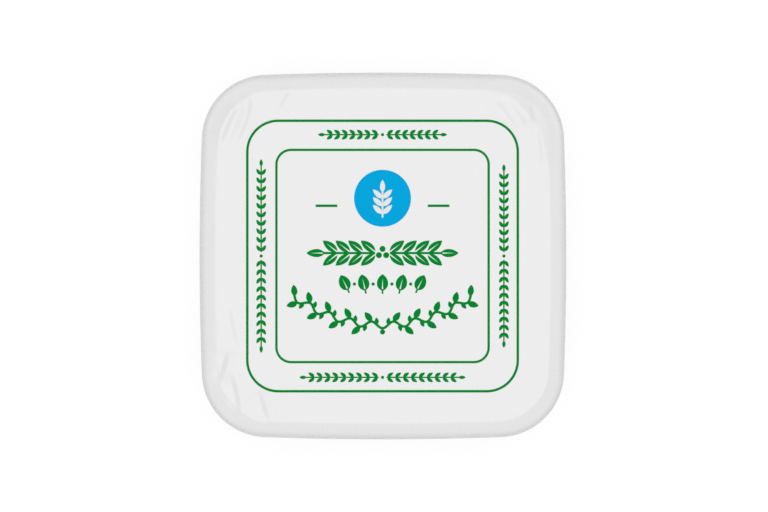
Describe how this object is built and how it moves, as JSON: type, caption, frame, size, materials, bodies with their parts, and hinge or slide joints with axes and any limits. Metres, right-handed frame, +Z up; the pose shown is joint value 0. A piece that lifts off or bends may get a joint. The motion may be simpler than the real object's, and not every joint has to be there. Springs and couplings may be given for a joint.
{
  "type": "herb butter pack",
  "caption": "Shut square tub of herb butter with round corners: a drafted wall on a rounded foot, under a thin pressed-on lid with a sloping shoulder and a short skirt.",
  "frame": {"origin": "middle of the foot's underside, on the surface that the pack stands on", "axes": "+Z up through the lid, +Y towards the upper edge of the lid's print, +X to the print's right"},
  "size_m": [0.088, 0.088, 0.028],
  "materials": {
    "tub": "white polypropylene, satin",
    "lid": "white polypropylene, satin, printed",
    "green_ink": "green print, satin",
    "blue_ink": "blue print, satin"
  },
  "bodies": {
    "root": {"tub": "tub", "lid": "lid"}
  },
  "joints": []
}
